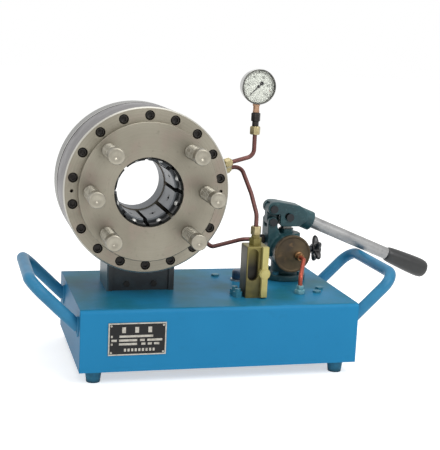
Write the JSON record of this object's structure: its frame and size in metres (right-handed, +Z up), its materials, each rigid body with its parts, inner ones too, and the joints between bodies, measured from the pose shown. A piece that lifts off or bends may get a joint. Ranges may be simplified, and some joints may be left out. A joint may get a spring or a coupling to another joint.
{
  "type": "hose crimping machine",
  "caption": "Hand-pumped bench machine that crimps hydraulic hose ends: ring head with radial dies on a blue oil tank, lever pump, valve and gauge.",
  "frame": {"origin": "centre of the crimping head mouth, on its front face", "axes": "+X to the operator's right, +Y into the machine along the hose, +Z up"},
  "size_m": [0.8251, 0.307, 0.539],
  "materials": {
    "tank_paint": "glossy blue paint",
    "handle_paint": "glossy blue paint",
    "foot_rubber": "matt",
    "black_plate": "satin black with pale border",
    "rivet_steel": "satin",
    "cap_paint": "dark blue paint",
    "zinc_steel": "zinc plated",
    "saddle_paint": "satin blue-black",
    "head_steel": "fine turned",
    "black_oxide": "black oxide",
    "die_steel": "ground, lightly oiled",
    "seal_rubber": "matt",
    "spring_steel": "bright",
    "copper": "dark copper",
    "brass": "worn",
    "gauge_case": "satin",
    "dial_white": "matt",
    "needle_black": "matt",
    "glass": "clear",
    "yellow_zinc": "yellow passivated",
    "pump_paint": "teal paint over casting",
    "teal_paint": "teal paint",
    "bronze": "tarnished",
    "black_plastic": "moulded",
    "grip_rubber": "ribbed",
    "tube_steel": "galvanised"
  },
  "bodies": {
    "machine": {"tank_shell": "tank_paint", "tank_bottom": "tank_paint", "drain_plug": "zinc_steel", "tank_feet": "foot_rubber", "foot_screws": "zinc_steel", "left_handle": "handle_paint", "right_handle": "handle_paint", "nameplate": "black_plate", "nameplate_rivets": "rivet_steel", "filler_neck": "zinc_steel", "suction_strainer": "zinc_steel", "tank_screws": "teal_paint", "head_saddle": "saddle_paint", "saddle_bolts": "black_oxide", "front_cover": "head_steel", "cylinder_barrel": "head_steel", "rear_cover": "head_steel", "cover_screws": "black_oxide", "rear_cover_screws": "black_oxide", "return_springs": "spring_steel", "gauge_case": "gauge_case", "gauge_dial": "dial_white", "gauge_glass": "glass", "gauge_adapter": "black_oxide", "gauge_pipe": "copper", "supply_pipe": "copper", "pressure_pipe": "copper", "return_pipe": "copper", "port_fittings": "black_oxide", "pipe_nuts": "brass", "valve_block": "yellow_zinc", "valve_connector": "yellow_zinc", "pump_rocker": "pump_paint", "pump_body": "pump_paint", "pump_bolts": "teal_paint", "pump_gland": "pump_paint", "chamber_cover": "bronze", "pipe_fittings": "black_oxide", "rocker_pins": "black_oxide"},
    "piston_unit": {"piston": "die_steel", "piston_seals": "seal_rubber", "return_bolts": "head_steel"},
    "needle": {"gauge_needle": "needle_black"},
    "lever": {"lever_head": "pump_paint", "lever_tube": "tube_steel", "lever_grip": "grip_rubber"},
    "plunger": {"plunger": "head_steel", "plunger_pin": "black_oxide"},
    "release_knob": {"release_spindle": "zinc_steel", "release_knob": "black_plastic"},
    "valve_handle": {"valve_handle": "brass"},
    "filler_cap": {"filler_cap": "cap_paint"},
    "die_1": {"die_1": "die_steel"},
    "die_2": {"die_2": "die_steel"},
    "die_3": {"die_3": "die_steel"},
    "die_4": {"die_4": "die_steel"},
    "die_5": {"die_5": "die_steel"},
    "die_6": {"die_6": "die_steel"},
    "die_7": {"die_7": "die_steel"},
    "die_8": {"die_8": "die_steel"}
  },
  "joints": [
    {"name": "piston_slide", "type": "slide", "parent": "machine", "child": "piston_unit", "axis": [0, 1, 0], "range_m": [0, 0.02], "stiffness_N_per_m": 3000, "springref_m": -0.004, "deforming": ["return_springs"]},
    {"name": "die_1_slide", "type": "slide", "parent": "machine", "child": "die_1", "axis": [-0.3827, 0, -0.9239], "range_m": [0, 0.008]},
    {"name": "die_2_slide", "type": "slide", "parent": "machine", "child": "die_2", "axis": [-0.9239, 0, -0.3827], "range_m": [0, 0.008]},
    {"name": "die_3_slide", "type": "slide", "parent": "machine", "child": "die_3", "axis": [-0.9239, 0, 0.3827], "range_m": [0, 0.008]},
    {"name": "die_4_slide", "type": "slide", "parent": "machine", "child": "die_4", "axis": [-0.3827, 0, 0.9239], "range_m": [0, 0.008]},
    {"name": "die_5_slide", "type": "slide", "parent": "machine", "child": "die_5", "axis": [0.3827, 0, 0.9239], "range_m": [0, 0.008]},
    {"name": "die_6_slide", "type": "slide", "parent": "machine", "child": "die_6", "axis": [0.9239, 0, 0.3827], "range_m": [0, 0.008]},
    {"name": "die_7_slide", "type": "slide", "parent": "machine", "child": "die_7", "axis": [0.9239, 0, -0.3827], "range_m": [0, 0.008]},
    {"name": "die_8_slide", "type": "slide", "parent": "machine", "child": "die_8", "axis": [0.3827, 0, -0.9239], "range_m": [0, 0.008]},
    {"name": "needle_turn", "type": "hinge", "parent": "machine", "child": "needle", "pos_m": [0.205, 0.055, 0.185], "axis": [0, 1, 0], "range_deg": [0, 270]},
    {"name": "lever_swing", "type": "hinge", "parent": "machine", "child": "lever", "pos_m": [0.267, 0.135, -0.05], "axis": [0, -1, 0], "range_deg": [0, 55]},
    {"name": "plunger_slide", "type": "slide", "parent": "machine", "child": "plunger", "axis": [0, 0, 1], "range_m": [0, 0.0344]},
    {"name": "release_turn", "type": "hinge", "parent": "machine", "child": "release_knob", "pos_m": [0.345, 0.127, -0.131], "axis": [1, 0, 0], "range_deg": [0, 270]},
    {"name": "valve_turn", "type": "hinge", "parent": "machine", "child": "valve_handle", "pos_m": [0.21, -0.015, -0.143], "axis": [0, 1, 0], "range_deg": [0, 90]},
    {"name": "filler_cap_lift", "type": "slide", "parent": "machine", "child": "filler_cap", "axis": [0, 0, 1], "range_m": [0, 0.012]}
  ],
  "couplings": [
    {"joint": "die_1_slide", "follows": "piston_slide", "ratio": 0.4},
    {"joint": "die_2_slide", "follows": "piston_slide", "ratio": 0.4},
    {"joint": "die_3_slide", "follows": "piston_slide", "ratio": 0.4},
    {"joint": "die_4_slide", "follows": "piston_slide", "ratio": 0.4},
    {"joint": "die_5_slide", "follows": "piston_slide", "ratio": 0.4},
    {"joint": "die_6_slide", "follows": "piston_slide", "ratio": 0.4},
    {"joint": "die_7_slide", "follows": "piston_slide", "ratio": 0.4},
    {"joint": "die_8_slide", "follows": "piston_slide", "ratio": 0.4},
    {"joint": "plunger_slide", "follows": "lever_swing", "m_per_rad": 0.035836}
  ]
}
